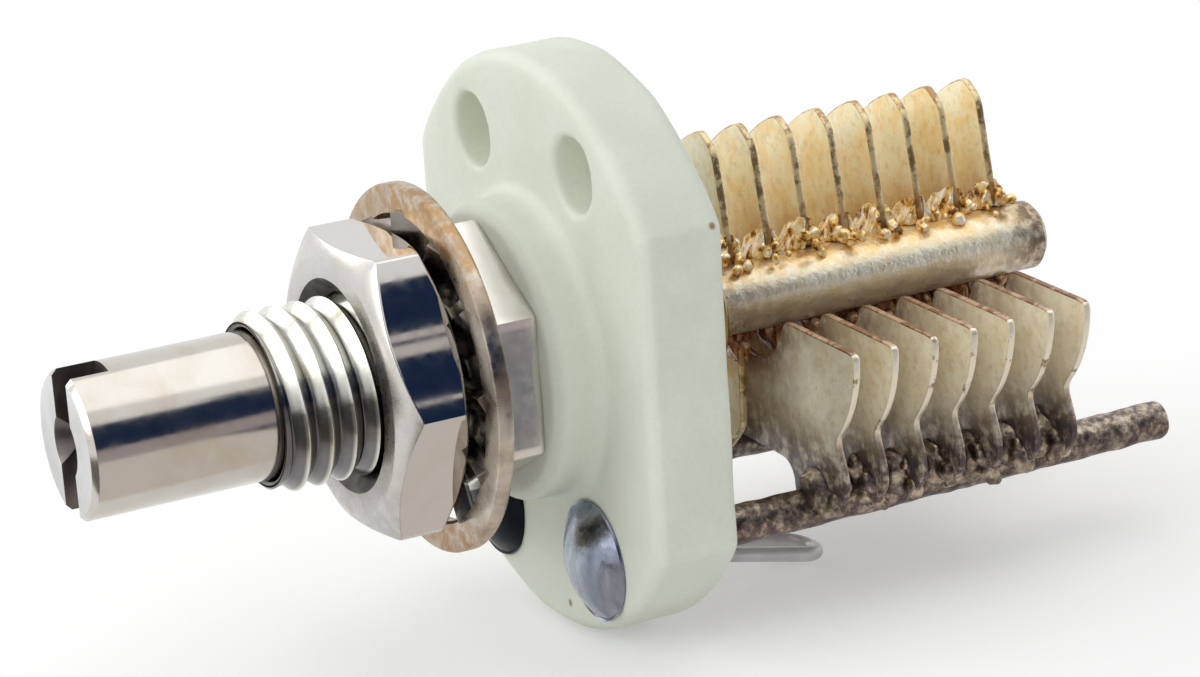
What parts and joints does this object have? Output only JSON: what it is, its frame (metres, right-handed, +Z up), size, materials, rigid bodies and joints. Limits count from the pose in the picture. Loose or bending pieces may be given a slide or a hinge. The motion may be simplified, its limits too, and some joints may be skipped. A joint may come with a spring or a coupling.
{
  "type": "air variable capacitor",
  "caption": "Small air variable capacitor: a slotted shaft turns meshed metal plates on a ceramic base, with a threaded bushing, nut and lock washer for fixing in a panel hole.",
  "frame": {"origin": "on the shaft's axis, in the plane of the front face of the bushing's hexagon, where a panel's face comes to lie", "axes": "+Y along the shaft from the knob end to the plates, +Z up with the screwdriver slot upright and the stator rods at the bottom, +X to the right seen from the knob end"},
  "size_m": [0.0158, 0.0378, 0.0191],
  "materials": {
    "ceramic": "unglazed steatite, matt, with a few specks",
    "nickel_plate": "nickel-plated brass, bright with a warm tarnish",
    "washer_steel": "plated spring steel, tarnished gold-brown",
    "rotor_brass": "tinned brass sheet, tarnished gold",
    "stator_brass": "tinned brass sheet, tarnished tan",
    "solder": "tin-lead solder, lumpy, with brown flux",
    "old_brass": "bare brass, dulled",
    "spring_bronze": "phosphor bronze sheet, browned",
    "tinned_wire": "tinned copper wire, dull grey",
    "dark_rod": "nickel-plated brass, darkened brown and violet"
  },
  "bodies": {
    "stator": {"ceramic_base": "ceramic", "bushing": "nickel_plate", "panel_nut": "nickel_plate", "lock_washer": "washer_steel", "contact_spring": "spring_bronze", "rotor_terminal": "tinned_wire", "stator_rod_near": "dark_rod", "stator_rod_far": "dark_rod", "stator_plate_1": "stator_brass", "stator_plate_2": "stator_brass", "stator_plate_3": "stator_brass", "stator_plate_4": "stator_brass", "stator_plate_5": "stator_brass", "stator_plate_6": "stator_brass", "stator_plate_7": "stator_brass", "stator_solder_near": "solder", "stator_solder_far": "solder"},
    "rotor": {"rotor_shaft": "nickel_plate", "rotor_plate_1": "rotor_brass", "rotor_plate_2": "rotor_brass", "rotor_plate_3": "rotor_brass", "rotor_plate_4": "rotor_brass", "rotor_plate_5": "rotor_brass", "rotor_plate_6": "rotor_brass", "rotor_plate_7": "rotor_brass", "rotor_plate_8": "rotor_brass", "rotor_solder": "solder", "rotor_collar": "old_brass"}
  },
  "joints": [
    {"name": "rotor_turn", "type": "hinge", "parent": "stator", "child": "rotor", "pos_m": [0, 0, 0], "axis": [0, 1, 0], "continuous": true}
  ]
}
